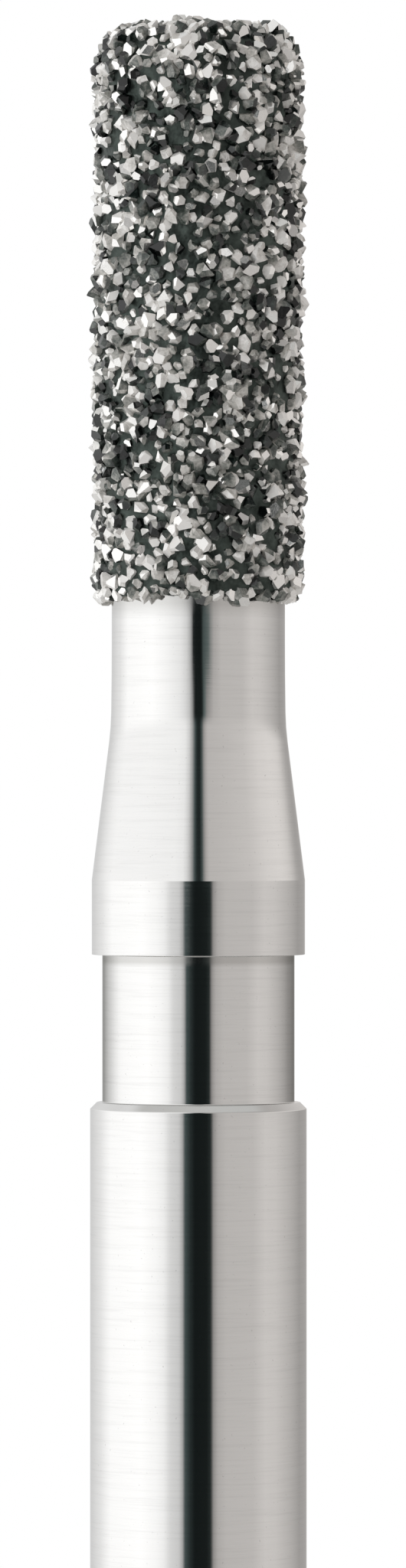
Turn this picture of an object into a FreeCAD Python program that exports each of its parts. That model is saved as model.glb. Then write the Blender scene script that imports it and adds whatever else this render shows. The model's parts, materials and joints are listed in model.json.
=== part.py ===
import FreeCAD, Part

import math
import os
import random

# Diamond dental bur with a friction-grip shank and a round-edged cylindrical head, in millimetres.
# It is one turned steel blank, which carries an electroplated nickel bond on its head, and the bond
# holds several hundred diamond stones. The origin is the centre of the shank's end face, and +Z runs
# along the axis towards the head.

# Shank, gripped by the handpiece's chuck
shank_diameter = 1.60
shank_length = 11.0
end_face_round = 0.22
shoulder_chamfer = 0.05

# Groove for a colour ring, left bare, and the collar above it
groove_diameter = 1.42
groove_length = 1.09
collar_diameter = 1.575
collar_length = 0.55
collar_chamfer = 0.02

# Flare from the collar down to the neck, which runs on under the coating as the head's core
flare_length = 1.13
flare_blend_round = 2.0
neck_diameter = 1.28
neck_length = 0.96

# Coated head, from the lower edge of the nickel to the tips of the end stones
head_length = 4.27
core_edge_round = 0.19
nickel_thickness = 0.085
nickel_lower_chamfer = 0.040

# Diamond stones: octahedral crystals that rest on the core and stand out of the nickel
stone_lowest_stand = 0.035
stone_highest_stand = 0.080
stone_widest_ratio = 1.25
stone_steepest_lean = 50
stone_gap = 0.002
stone_habits = 32
stone_throws = 6000
stone_seed = 20

# Heights of the turned steps, from the end face up
groove_low = shank_length
collar_low = groove_low + groove_length
flare_low = collar_low + collar_length
neck_low = flare_low + flare_length
head_low = neck_low + neck_length
head_top = head_low + head_length
core_top = head_top - nickel_thickness - stone_highest_stand

# Radii that the pieces share
core_radius = neck_diameter / 2
nickel_radius = core_radius + nickel_thickness
nickel_top = core_top + nickel_thickness
nickel_edge_round = core_edge_round + nickel_thickness

AXIS_FOOT = FreeCAD.Vector(0, 0, 0)
ACROSS = FreeCAD.Vector(1, 0, 0)
ASIDE = FreeCAD.Vector(0, 1, 0)
UP = FreeCAD.Vector(0, 0, 1)
FULL_TURN = 360
SHORTEST_EDGE = 1e-6


def rounded_outline(corners):
    """Closed wire in the XZ plane through corners given as (radius, height, rounding)."""
    points = [FreeCAD.Vector(radius, 0, height) for radius, height, _ in corners]
    stops = []
    for index, (corner, (_, _, rounding)) in enumerate(zip(points, corners)):
        if not rounding:
            stops.append([corner])
            continue
        back = (points[index - 1] - corner).normalize()
        ahead = (points[(index + 1) % len(points)] - corner).normalize()
        half_angle = back.getAngle(ahead) / 2
        setback = rounding / math.tan(half_angle)
        depth = rounding / math.sin(half_angle) - rounding
        middle = corner + (back + ahead).normalize() * depth
        stops.append([corner + back * setback, middle, corner + ahead * setback])
    edges = []
    for stop, following in zip(stops, stops[1:] + stops[:1]):
        if len(stop) > 1:
            edges.append(Part.Arc(*stop).toShape())
        if (following[0] - stop[-1]).Length > SHORTEST_EDGE:
            edges.append(Part.LineSegment(stop[-1], following[0]).toShape())
    return Part.Wire(edges)


def turned(corners):
    """Solid of revolution about the bur's axis."""
    return Part.Face(rounded_outline(corners)).revolve(AXIS_FOOT, UP, FULL_TURN)


def steel_blank():
    """Shank, ring groove, collar, flare, neck and the head's core, turned from one bar."""
    shank_radius = shank_diameter / 2
    groove_radius = groove_diameter / 2
    collar_radius = collar_diameter / 2
    return turned([
        (0, 0, 0),
        (shank_radius, 0, end_face_round),
        (shank_radius, shank_length - shoulder_chamfer, 0),
        (shank_radius - shoulder_chamfer, shank_length, 0),
        (groove_radius, groove_low, 0),
        (groove_radius, collar_low, 0),
        (collar_radius - collar_chamfer, collar_low, 0),
        (collar_radius, collar_low + collar_chamfer, 0),
        (collar_radius, flare_low, 0),
        (core_radius, neck_low, flare_blend_round),
        (core_radius, core_top, core_edge_round),
        (0, core_top, 0),
    ])


def nickel_bond():
    """Plated nickel cap over the core, of one thickness down the side, round the edge and on the end."""
    return turned([
        (core_radius, head_low, 0),
        (nickel_radius - nickel_lower_chamfer, head_low, 0),
        (nickel_radius, head_low + nickel_lower_chamfer, 0),
        (nickel_radius, nickel_top, nickel_edge_round),
        (0, nickel_top, 0),
        (0, core_top, 0),
        (core_radius, core_top, core_edge_round),
    ])


def octahedron(centre, tips):
    """Solid crystal with three pairs of opposite tips, each pair given by one vector from the centre."""
    faces = []
    for x_side in (1, -1):
        for y_side in (1, -1):
            for z_side in (1, -1):
                sides = (x_side, y_side, z_side)
                corners = [centre + tip * side for tip, side in zip(tips, sides)]
                if math.prod(sides) < 0:
                    corners.reverse()
                faces.append(Part.Face(Part.makePolygon(corners + corners[:1])))
    return Part.Solid(Part.Shell(faces))


def stone_above_nickel(chance):
    """The part of one stone that stands out of the nickel, on z = 0, with its corners and face planes."""
    height = nickel_thickness + chance.uniform(stone_lowest_stand, stone_highest_stand)
    lean = (
        FreeCAD.Rotation(UP, chance.uniform(0, FULL_TURN))
        * FreeCAD.Rotation(ACROSS, chance.uniform(0, stone_steepest_lean))
        * FreeCAD.Rotation(UP, chance.uniform(0, FULL_TURN))
    )
    tips = [
        lean.multVec(direction) * chance.uniform(1, stone_widest_ratio)
        for direction in (ACROSS, ASIDE, UP)
    ]
    reach = max(abs(tip.z) for tip in tips)
    tips = [tip * (height / 2 / reach) for tip in tips]
    centre = UP * (height / 2 - nickel_thickness)
    outside = Part.makeBox(4 * height, 4 * height, height, FreeCAD.Vector(-2 * height, -2 * height, 0))
    stone = octahedron(centre, tips).common(outside).Solids[0]
    corners = [vertex.Point for vertex in stone.Vertexes]
    planes = [(face.Vertexes[0].Point, face.normalAt(0, 0)) for face in stone.Faces]
    return stone, corners, planes


def seat_on_nickel(along, turn):
    """Point on the nickel and its outward direction, at a distance along its profile and an angle round it."""
    end_face_radius = nickel_radius - nickel_edge_round
    side = nickel_top - nickel_edge_round - head_low
    edge = nickel_edge_round * math.pi / 2
    if along < side:
        radius, height, climb = nickel_radius, head_low + along, 0
    elif along < side + edge:
        climb = (along - side) / nickel_edge_round
        radius = end_face_radius + nickel_edge_round * math.cos(climb)
        height = nickel_top - nickel_edge_round * (1 - math.sin(climb))
    else:
        radius, height, climb = side + edge + end_face_radius - along, nickel_top, math.pi / 2
    out = FreeCAD.Vector(math.cos(turn), math.sin(turn), 0)
    return out * radius + UP * height, out * math.cos(climb) + UP * math.sin(climb)


def faces_clear(planes, corners):
    """Whether the plane of one of a stone's faces has all the corners of another stone outside it."""
    return any(
        min((corner - foot).dot(outward) for corner in corners) > stone_gap
        for foot, outward in planes
    )


def diamond_stones():
    """Stones scattered at random over the nickel, each kept where it clears all those before it."""
    chance = random.Random(stone_seed)
    habits = [stone_above_nickel(chance) for _ in range(stone_habits)]
    widest = max(stone.BoundBox.DiagonalLength for stone, _, _ in habits)
    profile = (
        nickel_top - nickel_edge_round - head_low
        + nickel_edge_round * math.pi / 2
        + nickel_radius - nickel_edge_round
    )
    bands = {}
    for _ in range(stone_throws):
        seat, outward = seat_on_nickel(
            chance.uniform(nickel_lower_chamfer, profile), chance.uniform(0, 2 * math.pi)
        )
        stone, corners, planes = chance.choice(habits)
        spin = FreeCAD.Rotation(UP, chance.uniform(0, FULL_TURN))
        if chance.uniform(0, nickel_radius) > math.hypot(seat.x, seat.y):
            continue
        place = FreeCAD.Placement(seat, FreeCAD.Rotation(UP, outward) * spin)
        corners = [place.multVec(corner) for corner in corners]
        planes = [(place.multVec(foot), place.Rotation.multVec(facing)) for foot, facing in planes]
        band = math.floor(seat.z / widest)
        neighbours = [
            other
            for level in (band - 1, band, band + 1)
            for other in bands.get(level, [])
            if seat.distanceToPoint(other[0]) < widest
        ]
        if all(
            faces_clear(planes, other_corners) or faces_clear(other_planes, corners)
            for _, other_corners, other_planes, _ in neighbours
        ):
            placed = stone.copy()
            placed.Placement = place
            bands.setdefault(band, []).append((seat, corners, planes, placed))
    return Part.makeCompound([placed for band in bands.values() for _, _, _, placed in band])


os.makedirs("parts", exist_ok=True)
for name, shape in {
    "steel_blank": steel_blank(),
    "nickel_bond": nickel_bond(),
    "diamond_stones": diamond_stones(),
}.items():
    shape.exportStep(f"parts/{name}.step")
    print(name, len(shape.Solids), "solids", round(shape.Volume, 4), "mm3", shape.BoundBox)
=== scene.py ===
import json
import math
import random

import bmesh
import bpy
from bpy.props import FloatProperty, FloatVectorProperty, IntProperty, PointerProperty
from bpy.types import Operator, Panel, PropertyGroup
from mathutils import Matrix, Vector, kdtree, noise

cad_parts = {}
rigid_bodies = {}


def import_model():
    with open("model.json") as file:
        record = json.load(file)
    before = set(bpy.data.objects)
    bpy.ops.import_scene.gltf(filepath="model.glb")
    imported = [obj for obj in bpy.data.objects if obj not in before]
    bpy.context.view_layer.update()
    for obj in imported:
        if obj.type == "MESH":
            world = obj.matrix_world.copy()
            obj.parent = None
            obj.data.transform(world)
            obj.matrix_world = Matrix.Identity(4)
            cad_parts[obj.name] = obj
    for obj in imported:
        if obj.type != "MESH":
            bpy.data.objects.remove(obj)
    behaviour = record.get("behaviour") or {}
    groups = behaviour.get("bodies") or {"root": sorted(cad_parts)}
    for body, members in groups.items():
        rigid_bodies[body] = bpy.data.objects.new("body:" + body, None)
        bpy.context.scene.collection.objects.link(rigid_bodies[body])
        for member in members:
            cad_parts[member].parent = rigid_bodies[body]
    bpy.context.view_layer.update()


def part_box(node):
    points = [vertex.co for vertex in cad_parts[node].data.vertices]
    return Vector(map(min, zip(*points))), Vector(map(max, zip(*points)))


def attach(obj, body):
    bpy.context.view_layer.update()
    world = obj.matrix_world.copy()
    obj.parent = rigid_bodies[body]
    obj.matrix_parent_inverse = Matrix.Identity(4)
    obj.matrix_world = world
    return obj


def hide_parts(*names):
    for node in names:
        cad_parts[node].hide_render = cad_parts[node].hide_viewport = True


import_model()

bl_info = {
    "name": "Diamond dental bur",
    "version": (1, 0, 0),
    "blender": (4, 5, 0),
    "location": "3D View > Sidebar > Dental bur",
    "description": "Ground steel blank, plated nickel bond and diamond stones of a friction-grip bur",
    "category": "Object",
}

MM = 0.001

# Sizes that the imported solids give, to the micrometre: the shank, the head's core and the nickel on it.
SHANK_RADIUS = round(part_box("steel_blank")[1].x, 6)
CORE_TOP = round(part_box("steel_blank")[1].z, 6)
NICKEL_RADIUS = round(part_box("nickel_bond")[1].x, 6)
NICKEL_TOP = round(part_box("nickel_bond")[1].z, 6)
HEAD_LOW = round(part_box("nickel_bond")[0].z, 6)

# Attributes that the stones' and the blank's materials read.
STONE_SHADE = "stone_shade"
FACET_SHADE = "facet_shade"
# How dark the blank's painted shade is at each point: in the groove's root under the collar and on the neck
# under the head.
DARKENING_ATTRIBUTE = "painted_darkening"

# How finely the outlines are turned: the widest angle between two points of a rounding, the radius under
# which a point is on the axis, the nickel's step along its outline, and the facets round three of the meshes.
FINEST_TURN = math.radians(6)
ON_AXIS = 1e-9
NICKEL_STEP = 0.018 * MM
NICKEL_AROUND = 256
SEATS_AROUND = 128
FLOOR_AROUND = 96

# The blank: how much of the neck's length its swelling foot takes up, the collar's lower edge round next to
# the others, the middle of the painted shade under the head as (share of its width, darkness), and the run in
# which the groove's tint fades in at either end.
SWELL_SHARE = 0.4
COLLAR_EDGE_SHARE = 0.4
NECK_SHADE_MIDDLE = (0.35, 0.85)
GROOVE_TINT_EDGE = 0.01 * MM

# A crystal is a cube cut by some of the 14 planes that face its sides and corners. Before it is scaled to
# size 1: the cube's width, how many planes cut, how far each leans, and how far from the middle it passes.
CUBE_WIDTH = 2.2
CRYSTAL_CUTS = 11
CUT_LEAN = 0.16
CUT_DISTANCE = (0.60, 0.95)

# Random tries for each square of the spacing's width, and the end of the draw that picks a stone's shape.
SEAT_TRIES = 4.0
ANY_HABIT = 1000

# The nickel's lumps in cycles a metre, and the fractal's dimension, lacunarity and octaves.
LUMP_SCALE = 14000
LUMP_FRACTAL = (1.0, 2.0, 4)

# How much of a stone's tone is its own and how much its facets', and the same for its glints.
TONE_SHARES = (0.62, 0.38)
GLINT_SHARES = (0.3, 0.7)

# The floor: where it starts to fade, as a share of its radius, how much plain white is mixed into it for the
# camera, and how many shank radii from the axis mirrors begin to see it in full.
FADE_SHARE = 0.3
CAMERA_LIFT = 0.5
UNMIRRORED_RADII = 4

# What the bur mirrors, as (degrees round from the lens, linear level). The left is a white panel and the
# right a grey one. The lens and its stand are a dark gap, wide below the lens and narrow above it. Higher up
# the gap closes in, and at a steep angle above or below the lens the studio is dimmer all round.
WHITE_PANEL = ((-180, 0.72), (-152, 0.84), (-128, 0.98), (-108, 1.22), (-64, 1.27), (-46, 1.17))
GREY_PANEL = (
    (30, 0.58), (60, 0.60), (76, 0.70), (90, 0.68), (112, 0.56), (136, 0.42), (164, 0.48), (180, 0.72),
)
BELOW_LENS = (
    (-37, 1.06), (-30, 0.82), (-21, 0.72), (-17, 0.48), (-14.5, 0.085), (-9, 0.030), (-4, 0.011),
    (9, 0.013), (13.5, 0.030), (16, 0.34), (21, 0.51),
)
BESIDE_LENS = (
    (-24, 0.98), (-15, 0.78), (-10, 0.46), (-7, 0.012), (4, 0.010), (6, 0.08), (13, 0.13), (20, 0.44),
)
ABOVE_LENS = (
    (-26, 1.02), (-18, 0.88), (-12, 0.68), (-8, 0.35), (-5, 0.014), (5, 0.014), (8, 0.14), (12, 0.34),
    (20, 0.52),
)
HIGH_ROUND = (
    (-180, 0.72), (-150, 0.92), (-128, 1.06), (-108, 1.14), (-64, 1.13), (-26, 1.07), (-17, 1.00),
    (-12, 0.78), (-8, 0.44), (-4.5, 0.09), (-2, 0.025), (2, 0.018), (4.5, 0.09), (8, 0.42), (12, 0.57),
    (30, 0.60), (60, 0.66), (82, 0.78), (100, 0.82), (122, 0.80), (150, 0.68), (180, 0.72),
)
STEEP_ROUND = (
    (-180, 0.60), (-140, 0.80), (-90, 0.94), (-50, 1.08), (-22, 0.98), (-7, 0.52), (9, 0.32), (30, 0.33),
    (60, 0.29), (95, 0.28), (120, 0.46), (140, 0.56), (180, 0.60),
)
ZENITH = (0.60, 0.60, 0.59, 1.0)

# Degrees above the horizon over which each of them takes over from the one before. The last two count from
# the horizon both up and down.
TO_BESIDE = (-0.4, 0.2)
TO_ABOVE = (1.25, 2.1)
TO_HIGH = (3.0, 8.5)
TO_STEEP = (16.0, 42.0)
TO_ZENITH = (48.0, 60.0)

# Tints of the grey panel's side and of the dark gap, and the degrees and level where they hold, and white.
PLAIN = (1.0, 1.0, 1.0)
WARM = (1.022, 0.982, 0.955)
WARM_FROM = 3
GREENISH = (0.80, 1.08, 1.08)
GREENISH_UNDER = 0.2
GREENISH_WITHIN = 25
WHITE = (1.0, 1.0, 1.0, 1.0)


def length(name, description, default):
    """Property for a length, given in millimetres and kept in metres."""
    return FloatProperty(
        name=name, description=description, default=default * MM, unit="LENGTH", precision=6, min=0
    )


def colour(name, description, default):
    """Property for a linear colour."""
    return FloatVectorProperty(
        name=name, description=description, default=default, subtype="COLOR", size=3, min=0, max=1
    )


def share(name, description, default):
    """Property for a share from 0 to 1."""
    return FloatProperty(name=name, description=description, default=default, subtype="FACTOR", min=0, max=1)


class BlankSettings(PropertyGroup):
    """Sizes and finish of the ground steel blank."""

    shank_length: length("Shank length", "From the end face to the groove's shoulder", 11.0)
    end_round: length("End round", "Rounding of the shank's end face", 0.22)
    shoulder_chamfer: length("Shoulder chamfer", "Bevel round the top of the shank", 0.05)
    groove_radius: length("Groove radius", "Bare groove for a colour ring", 0.71)
    groove_length: length("Groove length", "Height of the bare groove", 1.09)
    collar_radius: length("Collar radius", "Band between the groove and the flare", 0.7875)
    collar_length: length("Collar length", "Height of the band above the groove", 0.55)
    flare_length: length("Flare length", "Height of the cone above the collar", 1.13)
    flare_blend: length("Flare blend", "Large round where the flare runs into the neck", 2.0)
    neck_radius: length("Neck radius", "Neck, and the head's core under the nickel", 0.64)
    neck_length: length("Neck length", "Straight neck between the flare and the head", 0.96)
    neck_swell: length("Neck swell", "How much wider the neck's foot is than its top", 0.006)
    neck_ease: length("Neck ease", "Large round where the swell dies out", 32.0)
    core_round: length("Core round", "Rounding of the core's top edge", 0.19)
    edge_round: length("Edge round", "Small rounding that grinding leaves on each edge", 0.012)
    root_round: length("Root round", "Rounding at the roots of the groove", 0.008)
    # Painted shade: how far the darkening painted into the groove's root reaches down from under the collar.
    painted_shade_width: length("Painted shade reach", "How far a darker film reaches from the root under the collar", 0.075)
    # Painted shade: how far the darkening painted under the plated head runs down the neck.
    neck_shade_width: length("Neck shade width", "How far a film from the plating runs down the neck", 0.16)
    around: IntProperty(name="Around", description="Facets round the blank", default=256, min=32)
    steel: colour("Steel", "Colour of the ground and polished steel", (0.800, 0.797, 0.788))
    # Colour of the painted shade in the groove's root and on the neck under the head.
    painted_darkening: colour("Painted darkening", "Darker film in the roots of the groove", (0.600, 0.595, 0.580))
    glancing: colour("Glancing", "Tint of the steel where it is seen at a low angle", (0.88, 0.88, 0.88))
    groove_glancing: colour("Groove glancing", "The same tint in the turned groove", (0.42, 0.42, 0.41))
    roughness: share("Roughness", "How far the polish scatters what it mirrors", 0.05)


class CoatingSettings(PropertyGroup):
    """Sizes and finish of the nickel bond and its diamond stones."""

    edge_round: length("Bond edge round", "Rounding of the nickel at the head's end", 0.275)
    lower_chamfer: length("Lower chamfer", "Bevel where the plating stops on the neck", 0.040)
    waviness: length("Waviness", "How uneven the plated nickel is", 0.010)
    climb: length("Climb", "How high the nickel creeps up the side of a stone", 0.010)
    climb_reach: length("Climb reach", "How far from a stone the nickel starts to rise", 0.030)
    spacing: length("Spacing", "Least distance between the middles of two stones", 0.070)
    smallest: length("Smallest stone", "Half the size of the smallest stone", 0.050)
    largest: length("Largest stone", "Half the size of the largest stone", 0.096)
    deepest: length("Deepest", "How far a stone's middle may lie under the nickel", 0.010)
    highest: length("Highest", "How far a stone's middle may stand above the nickel", 0.020)
    missing: share("Missing stones", "Share of the seats that hold no stone", 0.04)
    habits: IntProperty(name="Habits", description="Different crystal shapes", default=12, min=1)
    seed: IntProperty(name="Seed", description="Scatter of the stones", default=7, min=0)
    # A much darker colour than real nickel, so that it paints the shade between the stones.
    nickel: colour("Nickel", "Colour of the dull plated nickel", (0.066, 0.081, 0.073))
    roughness: share("Nickel roughness", "How dull the plated nickel is", 0.45)


class StudioSettings(PropertyGroup):
    """Camera, floor and light."""

    lens: FloatProperty(name="Lens", description="Focal length in millimetres", default=200, min=50)
    frame_height: length("Frame height", "Height of the picture at the bur's axis", 11.59)
    frame_middle: length("Frame middle", "Height of the picture's middle above the shank's end", 13.35)
    frame_side: length("Frame side", "How far the picture's middle is right of the axis", 0.034)
    floor_radius: length("Floor radius", "Where the pale floor has faded out", 24.0)
    floor: colour("Floor", "Colour of the pale floor", (0.86, 0.86, 0.85))


def add_node(tree, kind, feeds=None, **choices):
    """New node with its choices made, and each fed input given a value or linked to a socket."""
    node = tree.nodes.new(kind)
    for name, value in choices.items():
        setattr(node, name, value)
    for name, value in (feeds or {}).items():
        socket = node.inputs[name] if isinstance(name, int) else shown_socket(node.inputs, name)
        if isinstance(value, bpy.types.NodeSocket):
            tree.links.new(value, socket)
        else:
            socket.default_value = value
    return node


def shown_socket(sockets, name):
    """The socket of that name that the node's choices leave in use."""
    return next(socket for socket in sockets if socket.name == name and socket.enabled)


def math_node(tree, operation, *values):
    """Output of a Math node."""
    return add_node(tree, "ShaderNodeMath", dict(enumerate(values)), operation=operation).outputs[0]


def smooth_step(tree, value, low, high):
    """0 below low and 1 above high, with a soft run between them."""
    node = add_node(
        tree, "ShaderNodeMapRange", {"Value": value, "From Min": low, "From Max": high},
        interpolation_type="SMOOTHSTEP",
    )
    return shown_socket(node.outputs, "Result")


def spread(tree, value, low, high, from_low=0.0, from_high=1.0):
    """A value between from_low and from_high, spread between low and high."""
    node = add_node(
        tree, "ShaderNodeMapRange",
        {"Value": value, "From Min": from_low, "From Max": from_high, "To Min": low, "To Max": high},
    )
    return shown_socket(node.outputs, "Result")


def mix_colour(tree, share_of_second, first, second):
    """Output of a colour mix."""
    node = add_node(
        tree, "ShaderNodeMix", {"Factor": share_of_second, "A": first, "B": second}, data_type="RGBA"
    )
    return shown_socket(node.outputs, "Result")


def ramp(tree, value, stops):
    """Colour of a ramp whose stops are (position, colour)."""
    node = add_node(tree, "ShaderNodeValToRGB", {"Fac": value})
    elements = node.color_ramp.elements
    while len(elements) < len(stops):
        elements.new(1.0)
    for element, (position, shade) in zip(elements, stops):
        element.position = position
        element.color = (*shade, 1.0)
    return node.outputs["Color"]


def grain(tree, scale, detail=3.0, roughness=0.55, stretch=(1.0, 1.0, 1.0), place=None):
    """Noise with scale in cycles a metre, in the piece's own coordinates where no other place is given."""
    place = place or add_node(tree, "ShaderNodeTexCoord").outputs["Object"]
    place = add_node(tree, "ShaderNodeMapping", {"Vector": place, "Scale": stretch}).outputs["Vector"]
    feeds = {"Vector": place, "Scale": scale, "Detail": detail, "Roughness": roughness}
    return add_node(tree, "ShaderNodeTexNoise", feeds).outputs["Fac"]


def new_material(name):
    """Material with only a Principled shader: the material, its tree and the shader."""
    material = bpy.data.materials.new(name)
    material.use_nodes = True
    tree = material.node_tree
    return material, tree, tree.nodes["Principled BSDF"]


def rounded_profile(corners):
    """Points along a turned outline, as (radius, height, out, up, shade) with out and up facing outward.

    The corners are (radius, height, rounding, shade reach), in the order of the outline. A corner's last
    value is how far painted shade reaches back along the outline from it, and a point's last value is how
    dark the painted shade is there.
    """
    places = [Vector((radius, height)) for radius, height, _, _ in corners]
    points = []
    for index, (place, (_, _, rounding, painted_shade)) in enumerate(zip(places, corners)):
        before = (place - places[index - 1]).normalized() if index else None
        after = (places[index + 1] - place).normalized() if index < len(places) - 1 else None
        if before is None or after is None:
            run = after or before
            points.append((*place, run.y, -run.x, 0.0))
            continue
        if not rounding:
            run = (before + after).normalized()
            points.append((*place, run.y, -run.x, 0.0))
            continue
        turn = math.atan2(before.cross(after), before.dot(after))
        side = math.copysign(1, turn)
        outward = Vector((before.y, -before.x))
        start = place - before * rounding * math.tan(abs(turn) / 2)
        middle = start - outward * rounding * side
        if painted_shade:
            points.append((*(start - before * painted_shade), *outward, 0.0))
            points.append((*(start - before * painted_shade * 0.5), *outward, 1.0))
        steps = max(2, math.ceil(abs(turn) / FINEST_TURN))
        for step in range(steps + 1):
            angle = turn * step / steps
            facing = Vector((
                outward.x * math.cos(angle) - outward.y * math.sin(angle),
                outward.x * math.sin(angle) + outward.y * math.cos(angle),
            ))
            points.append((*(middle + facing * rounding * side), *facing, float(painted_shade != 0)))
    return points


def lathe(name, points, around):
    """Mesh turned from profile points, closed at the axis, with its outward directions as its normals."""
    vertices, normals, painted_shades, rings = [], [], [], []
    for radius, height, out, up, painted_shade in points:
        count = around if radius > ON_AXIS else 1
        rings.append(range(len(vertices), len(vertices) + count))
        for step in range(count):
            angle = 2 * math.pi * step / around
            vertices.append((radius * math.cos(angle), radius * math.sin(angle), height))
            normals.append((out * math.cos(angle), out * math.sin(angle), up))
            painted_shades.append(painted_shade)
    faces = []
    for lower, upper in zip(rings, rings[1:]):
        for step in range(around):
            ahead = (step + 1) % around
            if len(lower) == 1:
                faces.append((lower[0], upper[ahead], upper[step]))
            elif len(upper) == 1:
                faces.append((lower[step], lower[ahead], upper[0]))
            else:
                faces.append((lower[step], lower[ahead], upper[ahead], upper[step]))
    mesh = bpy.data.meshes.new(name)
    mesh.from_pydata(vertices, [], faces)
    # Each point's painted shade, which the steel's material reads.
    mesh.attributes.new(DARKENING_ATTRIBUTE, "FLOAT", "POINT").data.foreach_set("value", painted_shades)
    mesh.shade_smooth()
    mesh.normals_split_custom_set_from_vertices(normals)
    mesh.update()
    return mesh


def place_piece(name, mesh):
    """Object of that name on the bur's one body, in place of the solid of the same node."""
    piece = bpy.data.objects.new(name, mesh)
    bpy.context.scene.collection.objects.link(piece)
    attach(piece, "root")
    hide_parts(name.removesuffix("_dressed"))
    return piece


def steel_material(settings):
    """Polished steel with fine rings from grinding, and painted shade in the groove's root under the collar
    and on the neck under the plated head.
    """
    material, tree, shader = new_material("ground_steel")
    place = add_node(tree, "ShaderNodeTexCoord").outputs["Object"]
    x, y, z = add_node(tree, "ShaderNodeSeparateXYZ", {"Vector": place}).outputs
    across = add_node(tree, "ShaderNodeCombineXYZ", {"X": x, "Y": y}).outputs["Vector"]
    radius = add_node(tree, "ShaderNodeVectorMath", {0: across}, operation="LENGTH").outputs["Value"]
    marks = add_node(tree, "ShaderNodeCombineXYZ", {"X": x, "Y": y, "Z": math_node(tree, "ADD", z, radius)})
    rings = grain(
        tree, 1.0, detail=4.0, roughness=0.65, stretch=(1400, 1400, 42000), place=marks.outputs["Vector"]
    )
    polish = grain(tree, 2600, detail=2.0)
    specks = grain(tree, 52000, detail=1.0)
    # Painted shade: the steel darkens towards the shade colour where the profile's points carry it.
    painted_shade = add_node(tree, "ShaderNodeAttribute", attribute_name=DARKENING_ATTRIBUTE).outputs["Fac"]
    lighter = Vector(settings.steel)
    steel = ramp(tree, rings, (
        (0.30, lighter * 0.93),
        (0.47, lighter * 0.985),
        (0.60, lighter),
    ))
    steel = mix_colour(tree, smooth_step(tree, specks, 0.72, 0.80), steel, (*(lighter * 0.80), 1.0))
    steel = mix_colour(tree, painted_shade, steel, (*settings.painted_darkening, 1.0))
    uneven = math_node(tree, "MULTIPLY_ADD", rings, 0.05, settings.roughness - 0.045)
    uneven = math_node(tree, "MULTIPLY_ADD", polish, 0.04, uneven)
    uneven = math_node(tree, "MULTIPLY_ADD", painted_shade, 0.06, uneven)
    groove_low, groove_high = settings.shank_length, settings.shank_length + settings.groove_length
    in_groove = math_node(
        tree, "SUBTRACT",
        smooth_step(tree, z, groove_low, groove_low + GROOVE_TINT_EDGE),
        smooth_step(tree, z, groove_high - GROOVE_TINT_EDGE, groove_high),
    )
    glancing = mix_colour(tree, in_groove, (*settings.glancing, 1.0), (*settings.groove_glancing, 1.0))
    tree.links.new(steel, shader.inputs["Base Color"])
    tree.links.new(uneven, shader.inputs["Roughness"])
    tree.links.new(glancing, shader.inputs["Specular Tint"])
    shader.inputs["Metallic"].default_value = 1.0
    bump = add_node(tree, "ShaderNodeBump", {"Height": rings, "Strength": 0.35, "Distance": 1.2e-7})
    tree.links.new(bump.outputs["Normal"], shader.inputs["Normal"])
    return material


def nickel_material(settings):
    """Dull plated nickel, nodular, in random darker and lighter patches, its colour darkened to paint the
    shade between the stones.
    """
    material, tree, shader = new_material("plated_nickel")
    patches = grain(tree, 9000, detail=4.0)
    place = add_node(tree, "ShaderNodeTexCoord").outputs["Object"]
    nodules = add_node(
        tree, "ShaderNodeTexVoronoi", {"Vector": place, "Scale": 48000}, feature="SMOOTH_F1"
    ).outputs["Distance"]
    # The nickel's colour, darkened to paint the shade between the stones.
    plain = Vector(settings.nickel)
    shade = ramp(tree, patches, (
        (0.34, plain * 0.45),
        (0.50, plain * 0.85),
        (0.66, plain * 1.35),
    ))
    tree.links.new(shade, shader.inputs["Base Color"])
    dull = math_node(tree, "MULTIPLY_ADD", patches, 0.30, settings.roughness - 0.15)
    tree.links.new(dull, shader.inputs["Roughness"])
    shader.inputs["Metallic"].default_value = 1.0
    bump = add_node(
        tree, "ShaderNodeBump", {"Height": nodules, "Strength": 0.8, "Distance": 4e-6}, invert=True
    )
    tree.links.new(bump.outputs["Normal"], shader.inputs["Normal"])
    return material


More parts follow.
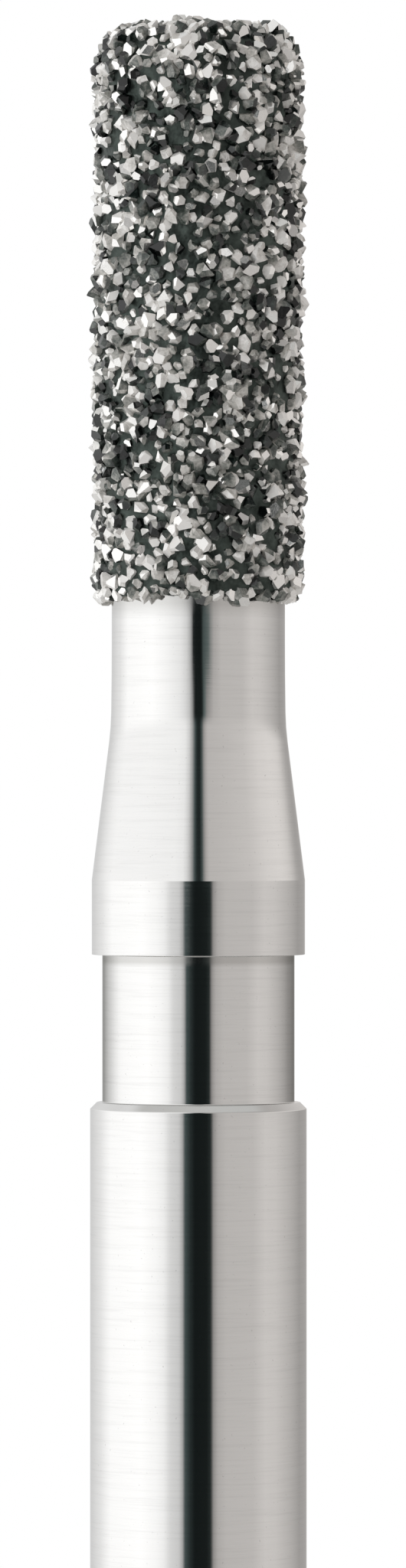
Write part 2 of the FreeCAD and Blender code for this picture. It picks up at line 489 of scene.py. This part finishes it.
def diamond_material():
    """Grey-green diamond with painted reflections: stones and facets from near black to near white stand for
    the dark nickel seen through the clear crystals and the light turned back inside them, and some facets are
    mirrors.
    """
    material, tree, shader = new_material("diamond_grit")
    stone = add_node(tree, "ShaderNodeAttribute", attribute_name=STONE_SHADE).outputs["Fac"]
    facet = add_node(tree, "ShaderNodeAttribute", attribute_name=FACET_SHADE).outputs["Fac"]
    steps = grain(tree, 30000, detail=3.0, roughness=0.7)
    # Random patches whose scale was picked partly because they fall lighter on the head's left and darker on
    # its right: partly painted shade.
    patches = grain(tree, 2600, detail=2.0)
    of_stone, of_facet = TONE_SHARES
    tone = math_node(tree, "MULTIPLY", stone, of_stone)
    tone = math_node(tree, "MULTIPLY_ADD", facet, of_facet, tone)
    tone = math_node(tree, "ADD", tone, spread(tree, steps, -0.06, 0.06, 0.3, 0.7))
    tone = math_node(tree, "ADD", tone, spread(tree, patches, -0.20, 0.20, 0.3, 0.7))
    # Painted reflection: near-black stones and facets stand for the dark nickel seen through a crystal,
    # near-white ones for light turned back inside it.
    shade = ramp(tree, tone, (
        (0.17, (0.001, 0.002, 0.002)),
        (0.27, (0.010, 0.016, 0.014)),
        (0.35, (0.072, 0.088, 0.077)),
        (0.43, (0.288, 0.292, 0.268)),
        (0.53, (0.645, 0.625, 0.590)),
        (0.64, (0.980, 0.965, 0.940)),
    ))
    of_stone, of_facet = GLINT_SHARES
    glint = math_node(tree, "MULTIPLY", stone, of_stone)
    glint = math_node(tree, "MULTIPLY_ADD", facet, of_facet, glint)
    glint = smooth_step(tree, glint, 0.58, 0.66)
    shade = mix_colour(tree, glint, shade, (0.940, 0.930, 0.910, 1.0))
    tree.links.new(shade, shader.inputs["Base Color"])
    tree.links.new(math_node(tree, "MULTIPLY", glint, 0.85), shader.inputs["Metallic"])
    tree.links.new(spread(tree, steps, 0.04, 0.22), shader.inputs["Roughness"])
    shader.inputs["IOR"].default_value = 2.42
    shader.inputs["Specular IOR Level"].default_value = 0.16
    bump = add_node(tree, "ShaderNodeBump", {"Height": steps, "Strength": 0.5, "Distance": 2e-6})
    tree.links.new(bump.outputs["Normal"], shader.inputs["Normal"])
    return material


def crystal_mesh(name, chance):
    """Blocky diamond crystal of size 1: a cube cut back at its sides and corners, each unevenly."""
    shape = bmesh.new()
    bmesh.ops.create_cube(shape, size=CUBE_WIDTH)
    sides = [Vector(side) for side in ((1, 0, 0), (0, 1, 0), (0, 0, 1))]
    sides += [-side for side in sides]
    corners = [Vector((x, y, z)).normalized() for x in (1, -1) for y in (1, -1) for z in (1, -1)]
    for facing in chance.sample(sides + corners, CRYSTAL_CUTS):
        tilted = (facing + Vector([chance.uniform(-CUT_LEAN, CUT_LEAN) for _ in range(3)])).normalized()
        cut = bmesh.ops.bisect_plane(
            shape, geom=shape.verts[:] + shape.edges[:] + shape.faces[:],
            plane_co=tilted * chance.uniform(*CUT_DISTANCE), plane_no=tilted, clear_outer=True,
        )
        rim = [part for part in cut["geom_cut"] if isinstance(part, bmesh.types.BMEdge)]
        if rim:
            bmesh.ops.contextual_create(shape, geom=rim)
    bmesh.ops.dissolve_limit(
        shape, angle_limit=math.radians(1), verts=shape.verts[:], edges=shape.edges[:]
    )
    bmesh.ops.recalc_face_normals(shape, faces=shape.faces[:])
    farthest = max(corner.co.length for corner in shape.verts)
    bmesh.ops.scale(shape, vec=[1 / farthest] * 3, verts=shape.verts[:])
    mesh = bpy.data.meshes.new(name)
    shape.to_mesh(mesh)
    shape.free()
    return mesh


def nickel_corners(settings):
    """Corners of the nickel's outside, from its lower edge to the axis."""
    return (
        (NICKEL_RADIUS - settings.lower_chamfer, HEAD_LOW, 0, 0),
        (NICKEL_RADIUS, HEAD_LOW + settings.lower_chamfer, 0, 0),
        (NICKEL_RADIUS, NICKEL_TOP, settings.edge_round, 0),
        (0, NICKEL_TOP, 0, 0),
    )


def height_over_core(place, blank):
    """How far a point lies outside the core that the nickel is plated on."""
    across = max(0.0, place.xy.length - blank.neck_radius + blank.core_round)
    above = max(0.0, place.z - CORE_TOP + blank.core_round)
    return math.hypot(across, above) - blank.core_round


def stone_scatter_tree():
    """Geometry nodes that seat crystals at random on a surface and give each stone and facet a shade."""
    tree = bpy.data.node_groups.new("Diamond scatter", "GeometryNodeTree")
    for name, kind in (
        ("Surface", "Geometry"), ("Crystals", "Collection"), ("Material", "Material"),
        ("Spacing", "Float"), ("Missing", "Float"), ("Smallest", "Float"), ("Largest", "Float"),
        ("Deepest", "Float"), ("Highest", "Float"), ("Seed", "Int"),
    ):
        tree.interface.new_socket(name=name, in_out="INPUT", socket_type=f"NodeSocket{kind}")
    tree.interface.new_socket(name="Stones", in_out="OUTPUT", socket_type="NodeSocketGeometry")
    given = tree.nodes.new("NodeGroupInput").outputs

    def chance(kind, seed, **limits):
        feeds = {"Seed": math_node(tree, "ADD", given["Seed"], seed)}
        feeds.update({name.capitalize(): value for name, value in limits.items()})
        node = add_node(tree, "FunctionNodeRandomValue", feeds, data_type=kind)
        return shown_socket(node.outputs, "Value")

    seats = add_node(
        tree, "GeometryNodeDistributePointsOnFaces",
        {
            "Mesh": given["Surface"], "Distance Min": given["Spacing"], "Seed": given["Seed"],
            "Density Max": math_node(
                tree, "DIVIDE", SEAT_TRIES, math_node(tree, "POWER", given["Spacing"], 2.0)
            ),
        },
        distribute_method="POISSON",
    )
    kept = add_node(
        tree, "GeometryNodeDeleteGeometry",
        {
            "Geometry": seats.outputs["Points"],
            "Selection": chance("BOOLEAN", 1, probability=given["Missing"]),
        },
    )
    sunk = math_node(tree, "MULTIPLY", given["Deepest"], -1.0)
    rise = chance("FLOAT", 2, min=sunk, max=given["Highest"])
    lift = add_node(
        tree, "ShaderNodeVectorMath", {0: seats.outputs["Normal"], "Scale": rise}, operation="SCALE"
    )
    raised = add_node(
        tree, "GeometryNodeSetPosition",
        {"Geometry": kept.outputs["Geometry"], "Offset": lift.outputs["Vector"]},
    )
    crystals = add_node(
        tree, "GeometryNodeCollectionInfo",
        {"Collection": given["Crystals"], "Separate Children": True, "Reset Children": True},
    )
    size = chance("FLOAT", 3, min=given["Smallest"], max=given["Largest"])
    stones = add_node(
        tree, "GeometryNodeInstanceOnPoints",
        {
            "Points": raised.outputs["Geometry"], "Instance": crystals.outputs["Instances"],
            "Pick Instance": True, "Instance Index": chance("INT", 4, min=0, max=ANY_HABIT), "Scale": size,
            "Rotation": chance("FLOAT_VECTOR", 5, min=(0, 0, 0), max=(math.tau, math.tau, math.tau)),
        },
    )
    shaded = add_node(
        tree, "GeometryNodeStoreNamedAttribute",
        {
            "Geometry": stones.outputs["Instances"], "Name": STONE_SHADE,
            "Value": chance("FLOAT", 6, min=0.0, max=1.0),
        },
        data_type="FLOAT", domain="INSTANCE",
    )
    whole = add_node(tree, "GeometryNodeRealizeInstances", {"Geometry": shaded.outputs["Geometry"]})
    cut = add_node(
        tree, "GeometryNodeStoreNamedAttribute",
        {
            "Geometry": whole.outputs["Geometry"], "Name": FACET_SHADE,
            "Value": chance("FLOAT", 7, min=0.0, max=1.0),
        },
        data_type="FLOAT", domain="FACE",
    )
    done = add_node(
        tree, "GeometryNodeSetMaterial",
        {"Geometry": cut.outputs["Geometry"], "Material": given["Material"]},
    )
    add_node(tree, "NodeGroupOutput", {"Stones": done.outputs["Geometry"]})
    return tree


def scattered_stones(settings):
    """Mesh of all the stones, scattered by the node tree over the nickel's outside."""
    chance = random.Random(settings.seed)
    crystals = bpy.data.collections.new("crystal_habits")
    bpy.context.scene.collection.children.link(crystals)
    for number in range(settings.habits):
        name = f"crystal_{number:02d}"
        crystals.objects.link(bpy.data.objects.new(name, crystal_mesh(name, chance)))
    surface = lathe("stone_seats", rounded_profile(nickel_corners(settings)), SEATS_AROUND)
    carrier = bpy.data.objects.new("stone_seats", surface)
    bpy.context.scene.collection.objects.link(carrier)
    scatter = carrier.modifiers.new("Diamond scatter", "NODES")
    scatter.node_group = stone_scatter_tree()
    values = {
        "Crystals": crystals, "Material": diamond_material(), "Spacing": settings.spacing,
        "Missing": settings.missing, "Smallest": settings.smallest, "Largest": settings.largest,
        "Deepest": settings.deepest, "Highest": settings.highest, "Seed": settings.seed,
    }
    for socket in scatter.node_group.interface.items_tree:
        if socket.name in values:
            scatter[socket.identifier] = values[socket.name]
    dressed = carrier.evaluated_get(bpy.context.evaluated_depsgraph_get())
    mesh = bpy.data.meshes.new_from_object(dressed)
    for maker in (carrier, *crystals.objects):
        bpy.data.meshes.remove(maker.data)
    bpy.data.collections.remove(crystals)
    return mesh


class BUR_OT_steel_blank(Operator):
    """Turn the shank, groove, collar, flare, neck and core as one polished piece"""

    bl_idname = "bur.steel_blank"
    bl_label = "Steel blank"

    def execute(self, context):
        s = context.scene.bur_blank
        groove_low = s.shank_length
        collar_low = groove_low + s.groove_length
        flare_low = collar_low + s.collar_length
        neck_low = flare_low + s.flare_length
        swell_top = neck_low + s.neck_length * SWELL_SHARE
        edge, root = s.edge_round, s.root_round
        profile = rounded_profile((
            (0, 0, 0, 0),
            (SHANK_RADIUS, 0, s.end_round, 0),
            (SHANK_RADIUS, groove_low - s.shoulder_chamfer, edge, 0),
            (SHANK_RADIUS - s.shoulder_chamfer, groove_low, edge, 0),
            (s.groove_radius, groove_low, root, 0),
            # From this corner painted shade reaches down the groove's wall under the collar.
            (s.groove_radius, collar_low, root, s.painted_shade_width),
            (s.collar_radius, collar_low, edge * COLLAR_EDGE_SHARE, 0),
            (s.collar_radius, flare_low, edge, 0),
            (s.neck_radius + s.neck_swell, neck_low, s.flare_blend, 0),
            (s.neck_radius, swell_top, s.neck_ease, 0),
            (s.neck_radius, CORE_TOP, s.core_round, 0),
            (0, CORE_TOP, 0, 0),
        ))
        # Painted shade on the neck just under the plated head, fading out downwards.
        neck_shade_share, neck_shade_depth = NECK_SHADE_MIDDLE
        plated = next(index for index, point in enumerate(profile) if point[1] > HEAD_LOW)
        profile[plated:plated] = [
            (s.neck_radius, HEAD_LOW - s.neck_shade_width, 1, 0, 0.0),
            (s.neck_radius, HEAD_LOW - s.neck_shade_width * neck_shade_share, 1, 0, neck_shade_depth),
            (s.neck_radius, HEAD_LOW, 1, 0, 1.0),
        ]
        piece = place_piece("steel_blank_dressed", lathe("steel_blank_dressed", profile, s.around))
        piece.data.materials.append(steel_material(s))
        return {"FINISHED"}


class BUR_OT_diamond_stones(Operator):
    """Scatter faceted diamond crystals over the head, half sunk in its nickel"""

    bl_idname = "bur.diamond_stones"
    bl_label = "Diamond stones"

    def execute(self, context):
        mesh = scattered_stones(context.scene.bur_coating)
        if not mesh.polygons:
            raise RuntimeError("the scatter made no stones")
        mesh.name = "diamond_stones_dressed"
        place_piece("diamond_stones_dressed", mesh)
        return {"FINISHED"}


class BUR_OT_nickel_bond(Operator):
    """Plate the head with uneven nickel that creeps up the sides of the stones"""

    bl_idname = "bur.nickel_bond"
    bl_label = "Nickel bond"

    def execute(self, context):
        s = context.scene.bur_coating
        blank = context.scene.bur_blank
        thickness = NICKEL_RADIUS - blank.neck_radius
        outline = rounded_profile((
            (0, CORE_TOP, 0, 0),
            (blank.neck_radius, CORE_TOP, blank.core_round, 0),
            (blank.neck_radius, HEAD_LOW, 0, 0),
            *nickel_corners(s),
        ))
        profile = []
        for first, second in zip(outline, outline[1:]):
            run = math.hypot(second[0] - first[0], second[1] - first[1])
            outside = height_over_core(Vector((second[0], 0, second[1])), blank) > thickness / 4
            steps = max(1, round(run / NICKEL_STEP)) if outside else 1
            for step in range(steps):
                along = step / steps
                profile.append(tuple(a + (b - a) * along for a, b in zip(first, second)))
        profile.append(outline[-1])
        mesh = lathe("nickel_bond_dressed", profile, NICKEL_AROUND)
        stones = bpy.data.objects["diamond_stones_dressed"].data.vertices
        corners = kdtree.KDTree(len(stones))
        for corner in stones:
            corners.insert(corner.co, corner.index)
        corners.balance()
        mesh.attributes.remove(mesh.attributes["custom_normal"])
        plated = []
        for place, outward in [(vertex.co.copy(), vertex.normal.copy()) for vertex in mesh.vertices]:
            depth = min(1.0, max(0.0, height_over_core(place, blank) / thickness))
            rough = noise.fractal(place * LUMP_SCALE, *LUMP_FRACTAL)
            near = max(0.0, 1 - corners.find(place)[2] / s.climb_reach)
            plated.extend(place + outward * depth * (rough * s.waviness + near * near * s.climb))
        mesh.vertices.foreach_set("co", plated)
        mesh.update()
        piece = place_piece("nickel_bond_dressed", mesh)
        piece.data.materials.append(nickel_material(s))
        return {"FINISHED"}


def studio_ramp(tree, turn, levels):
    """Colour of the studio round the bur at one height."""
    stops = []
    for degrees, level in levels:
        warmth = WARM if degrees > WARM_FROM else PLAIN
        cast = GREENISH if level < GREENISH_UNDER and abs(degrees) < GREENISH_WITHIN else PLAIN
        stops.append(((degrees + 180) / 360, [level * a * b for a, b in zip(warmth, cast)]))
    return ramp(tree, turn, stops)


def studio_world():
    """World that the camera sees as plain white, and that lights the bur as two panels and a dark lens."""
    world = bpy.data.worlds.new("studio")
    world.use_nodes = True
    tree = world.node_tree
    tree.nodes.clear()
    direction = add_node(tree, "ShaderNodeTexCoord").outputs["Generated"]
    x, y, z = add_node(tree, "ShaderNodeSeparateXYZ", {"Vector": direction}).outputs
    turn = math_node(tree, "ARCTAN2", x, math_node(tree, "MULTIPLY", y, -1.0))
    turn = spread(tree, turn, 0.0, 1.0, -math.pi, math.pi)
    rise = math_node(tree, "DEGREES", math_node(tree, "ARCSINE", z))
    steep = math_node(tree, "ABSOLUTE", rise)
    below, beside, above = (
        studio_ramp(tree, turn, WHITE_PANEL + gap + GREY_PANEL)
        for gap in (BELOW_LENS, BESIDE_LENS, ABOVE_LENS)
    )
    level = below
    for height, (low, high), colours in (
        (rise, TO_BESIDE, beside),
        (rise, TO_ABOVE, above),
        (rise, TO_HIGH, studio_ramp(tree, turn, HIGH_ROUND)),
        (steep, TO_STEEP, studio_ramp(tree, turn, STEEP_ROUND)),
        (steep, TO_ZENITH, ZENITH),
    ):
        level = mix_colour(tree, smooth_step(tree, height, low, high), level, colours)
    studio = add_node(tree, "ShaderNodeBackground", {"Color": level, "Strength": 1.0})
    white = add_node(tree, "ShaderNodeBackground", {"Color": WHITE, "Strength": 1.0})
    seen = add_node(tree, "ShaderNodeLightPath").outputs["Is Camera Ray"]
    shown = add_node(
        tree, "ShaderNodeMixShader",
        {0: seen, 1: studio.outputs["Background"], 2: white.outputs["Background"]},
    )
    add_node(tree, "ShaderNodeOutputWorld", {"Surface": shown.outputs["Shader"]})
    return world


def floor_material(settings):
    """Pale floor, near white to the camera but with its shadow, and clear at its rim and from below."""
    material = bpy.data.materials.new("pale_floor")
    material.use_nodes = True
    tree = material.node_tree
    tree.nodes.clear()
    place = add_node(tree, "ShaderNodeTexCoord").outputs["Object"]
    far = add_node(tree, "ShaderNodeVectorMath", {0: place}, operation="LENGTH").outputs["Value"]
    mottle = spread(tree, grain(tree, 400.0, detail=2.0), 0.97, 1.0)
    tone = mix_colour(tree, mottle, (0.0, 0.0, 0.0, 1.0), (*settings.floor, 1.0))
    pale = add_node(tree, "ShaderNodeBsdfDiffuse", {"Color": tone})
    white = add_node(tree, "ShaderNodeEmission", {"Color": WHITE, "Strength": 1.0})
    ray = add_node(tree, "ShaderNodeLightPath").outputs
    lift = math_node(tree, "MULTIPLY", ray["Is Camera Ray"], CAMERA_LIFT)
    lit = add_node(
        tree, "ShaderNodeMixShader", {0: lift, 1: pale.outputs["BSDF"], 2: white.outputs["Emission"]}
    )
    rim = smooth_step(tree, far, settings.floor_radius * FADE_SHARE, settings.floor_radius)
    under = add_node(tree, "ShaderNodeNewGeometry").outputs["Backfacing"]
    foot = smooth_step(tree, far, UNMIRRORED_RADII * SHANK_RADIUS, SHANK_RADIUS)
    hidden = math_node(tree, "MAXIMUM", rim, math_node(tree, "MULTIPLY", ray["Is Glossy Ray"], foot))
    clear = add_node(tree, "ShaderNodeBsdfTransparent")
    shown = add_node(
        tree, "ShaderNodeMixShader",
        {0: math_node(tree, "MAXIMUM", hidden, under), 1: lit.outputs["Shader"], 2: clear.outputs["BSDF"]},
    )
    add_node(tree, "ShaderNodeOutputMaterial", {"Surface": shown.outputs["Shader"]})
    return material


class BUR_OT_studio(Operator):
    """Set the pale floor, the soft studio light and the camera"""

    bl_idname = "bur.studio"
    bl_label = "Studio"

    def execute(self, context):
        s = context.scene.bur_studio
        end_face_radius = SHANK_RADIUS - context.scene.bur_blank.end_round
        outline = ((s.floor_radius, 0, 0, 1, 0), (end_face_radius, 0, 0, 1, 0))
        floor = bpy.data.objects.new("floor", lathe("floor", outline, FLOOR_AROUND))
        floor.data.materials.append(floor_material(s))
        context.scene.collection.objects.link(floor)
        context.scene.world = studio_world()
        camera = bpy.data.objects.new("camera", bpy.data.cameras.new("camera"))
        camera.data.lens = s.lens
        camera.data.clip_start = MM
        distance = s.frame_height * s.lens / camera.data.sensor_width
        camera.location = (s.frame_side, -distance, s.frame_middle)
        camera.rotation_euler = (math.pi / 2, 0, 0)
        context.scene.collection.objects.link(camera)
        context.scene.camera = camera
        context.scene.view_settings.view_transform = "Standard"
        return {"FINISHED"}


class BUR_PT_sidebar(Panel):
    """Sizes and finishes of the bur, with a button for each piece"""

    bl_idname = "BUR_PT_sidebar"
    bl_label = "Dental bur"
    bl_space_type = "VIEW_3D"
    bl_region_type = "UI"
    bl_category = "Dental bur"

    def draw(self, context):
        for makers, settings in (
            ((BUR_OT_steel_blank,), context.scene.bur_blank),
            ((BUR_OT_diamond_stones, BUR_OT_nickel_bond), context.scene.bur_coating),
            ((BUR_OT_studio,), context.scene.bur_studio),
        ):
            box = self.layout.box()
            for maker in makers:
                box.operator(maker.bl_idname)
            for name in settings.bl_rna.properties.keys():
                if name not in {"rna_type", "name"}:
                    box.prop(settings, name)


CLASSES = (
    BlankSettings, CoatingSettings, StudioSettings,
    BUR_OT_steel_blank, BUR_OT_diamond_stones, BUR_OT_nickel_bond, BUR_OT_studio, BUR_PT_sidebar,
)


def register():
    for kind in CLASSES:
        bpy.utils.register_class(kind)
    bpy.types.Scene.bur_blank = PointerProperty(type=BlankSettings)
    bpy.types.Scene.bur_coating = PointerProperty(type=CoatingSettings)
    bpy.types.Scene.bur_studio = PointerProperty(type=StudioSettings)


def unregister():
    del bpy.types.Scene.bur_studio
    del bpy.types.Scene.bur_coating
    del bpy.types.Scene.bur_blank
    for kind in reversed(CLASSES):
        bpy.utils.unregister_class(kind)


def main():
    register()
    bpy.ops.bur.steel_blank()
    bpy.ops.bur.diamond_stones()
    bpy.ops.bur.nickel_bond()
    bpy.ops.bur.studio()


if __name__ == "__main__":
    main()
